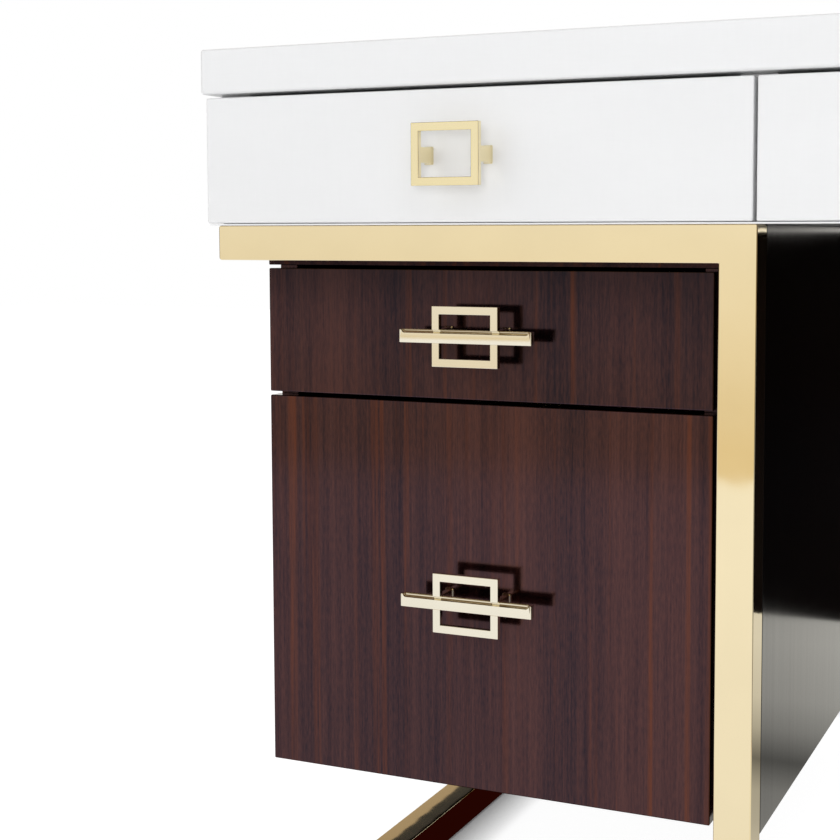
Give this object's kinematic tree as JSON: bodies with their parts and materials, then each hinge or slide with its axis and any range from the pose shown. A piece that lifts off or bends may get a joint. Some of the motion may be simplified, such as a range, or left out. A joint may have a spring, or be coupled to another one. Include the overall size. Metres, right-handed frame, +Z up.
{
  "type": "double pedestal desk",
  "caption": "Executive desk with a white lacquered top and apron drawers, hanging dark veneered pedestals and square brass tube frames with ring pulls.",
  "frame": {"origin": "bottom centre of the bounding box: on the floor, midway between the slab's ends and midway between the front of the apron pulls and the slab's back edge", "axes": "+X to the right of the person facing the drawer fronts, +Y away from that person, +Z up"},
  "size_m": [1.524, 0.786, 0.762],
  "materials": {
    "white_lacquer": "white semi-gloss lacquer over fibreboard",
    "dark_veneer": "dark espresso veneer with an upright grain under gloss lacquer",
    "brass": "satin polished",
    "runner_steel": "zinc plated",
    "drawer_wood": "clear satin lacquer on birch plywood",
    "glide_plastic": "moulded nylon"
  },
  "bodies": {
    "desk": {"top_slab": "white_lacquer", "apron_bottom": "white_lacquer", "apron_left_end": "white_lacquer", "apron_right_end": "white_lacquer", "apron_left_partition": "white_lacquer", "apron_right_partition": "white_lacquer", "apron_back": "white_lacquer", "modesty_panel": "dark_veneer", "left_frame": "brass", "left_pedestal_outer_side": "dark_veneer", "left_pedestal_inner_side": "dark_veneer", "left_pedestal_gable": "dark_veneer", "left_pedestal_top": "dark_veneer", "left_pedestal_bottom": "dark_veneer", "left_pedestal_back": "dark_veneer", "right_frame": "brass", "right_pedestal_outer_side": "dark_veneer", "right_pedestal_inner_side": "dark_veneer", "right_pedestal_gable": "dark_veneer", "right_pedestal_top": "dark_veneer", "right_pedestal_bottom": "dark_veneer", "right_pedestal_back": "dark_veneer", "frame_screws": "runner_steel", "floor_glides": "glide_plastic", "slab_brackets": "runner_steel", "cabinet_runners": "runner_steel"},
    "centre_drawer": {"centre_drawer_front": "white_lacquer", "centre_drawer_pull": "brass", "centre_drawer_box": "drawer_wood", "centre_drawer_runners": "runner_steel"},
    "left_apron_drawer": {"left_apron_drawer_front": "white_lacquer", "left_apron_drawer_pull": "brass", "left_apron_drawer_box": "drawer_wood", "left_apron_drawer_runners": "runner_steel"},
    "left_small_drawer": {"left_small_drawer_front": "dark_veneer", "left_small_drawer_pull": "brass", "left_small_drawer_box": "drawer_wood", "left_small_drawer_runners": "runner_steel"},
    "left_small_drawer_middle_runners": {"left_small_drawer_middle_runners": "runner_steel"},
    "left_file_drawer": {"left_file_drawer_front": "dark_veneer", "left_file_drawer_pull": "brass", "left_file_drawer_box": "drawer_wood", "left_file_drawer_runners": "runner_steel", "left_file_rails": "runner_steel"},
    "left_file_drawer_middle_runners": {"left_file_drawer_middle_runners": "runner_steel"},
    "right_apron_drawer": {"right_apron_drawer_front": "white_lacquer", "right_apron_drawer_pull": "brass", "right_apron_drawer_box": "drawer_wood", "right_apron_drawer_runners": "runner_steel"},
    "right_small_drawer": {"right_small_drawer_front": "dark_veneer", "right_small_drawer_pull": "brass", "right_small_drawer_box": "drawer_wood", "right_small_drawer_runners": "runner_steel"},
    "right_small_drawer_middle_runners": {"right_small_drawer_middle_runners": "runner_steel"},
    "right_file_drawer": {"right_file_drawer_front": "dark_veneer", "right_file_drawer_pull": "brass", "right_file_drawer_box": "drawer_wood", "right_file_drawer_runners": "runner_steel", "right_file_rails": "runner_steel"},
    "right_file_drawer_middle_runners": {"right_file_drawer_middle_runners": "runner_steel"}
  },
  "joints": [
    {"name": "centre_drawer_slide", "type": "slide", "parent": "desk", "child": "centre_drawer", "axis": [0, -1, 0], "range_m": [0, 0.4]},
    {"name": "left_apron_drawer_slide", "type": "slide", "parent": "desk", "child": "left_apron_drawer", "axis": [0, -1, 0], "range_m": [0, 0.4]},
    {"name": "left_small_drawer_slide", "type": "slide", "parent": "desk", "child": "left_small_drawer", "axis": [0, -1, 0], "range_m": [0, 0.5]},
    {"name": "left_small_drawer_middle_runners_slide", "type": "slide", "parent": "desk", "child": "left_small_drawer_middle_runners", "axis": [0, -1, 0], "range_m": [0, 0.25]},
    {"name": "left_file_drawer_slide", "type": "slide", "parent": "desk", "child": "left_file_drawer", "axis": [0, -1, 0], "range_m": [0, 0.5]},
    {"name": "left_file_drawer_middle_runners_slide", "type": "slide", "parent": "desk", "child": "left_file_drawer_middle_runners", "axis": [0, -1, 0], "range_m": [0, 0.25]},
    {"name": "right_apron_drawer_slide", "type": "slide", "parent": "desk", "child": "right_apron_drawer", "axis": [0, -1, 0], "range_m": [0, 0.4]},
    {"name": "right_small_drawer_slide", "type": "slide", "parent": "desk", "child": "right_small_drawer", "axis": [0, -1, 0], "range_m": [0, 0.5]},
    {"name": "right_small_drawer_middle_runners_slide", "type": "slide", "parent": "desk", "child": "right_small_drawer_middle_runners", "axis": [0, -1, 0], "range_m": [0, 0.25]},
    {"name": "right_file_drawer_slide", "type": "slide", "parent": "desk", "child": "right_file_drawer", "axis": [0, -1, 0], "range_m": [0, 0.5]},
    {"name": "right_file_drawer_middle_runners_slide", "type": "slide", "parent": "desk", "child": "right_file_drawer_middle_runners", "axis": [0, -1, 0], "range_m": [0, 0.25]}
  ],
  "couplings": [
    {"joint": "left_small_drawer_middle_runners_slide", "follows": "left_small_drawer_slide", "ratio": 0.5},
    {"joint": "left_file_drawer_middle_runners_slide", "follows": "left_file_drawer_slide", "ratio": 0.5},
    {"joint": "right_small_drawer_middle_runners_slide", "follows": "right_small_drawer_slide", "ratio": 0.5},
    {"joint": "right_file_drawer_middle_runners_slide", "follows": "right_file_drawer_slide", "ratio": 0.5}
  ]
}
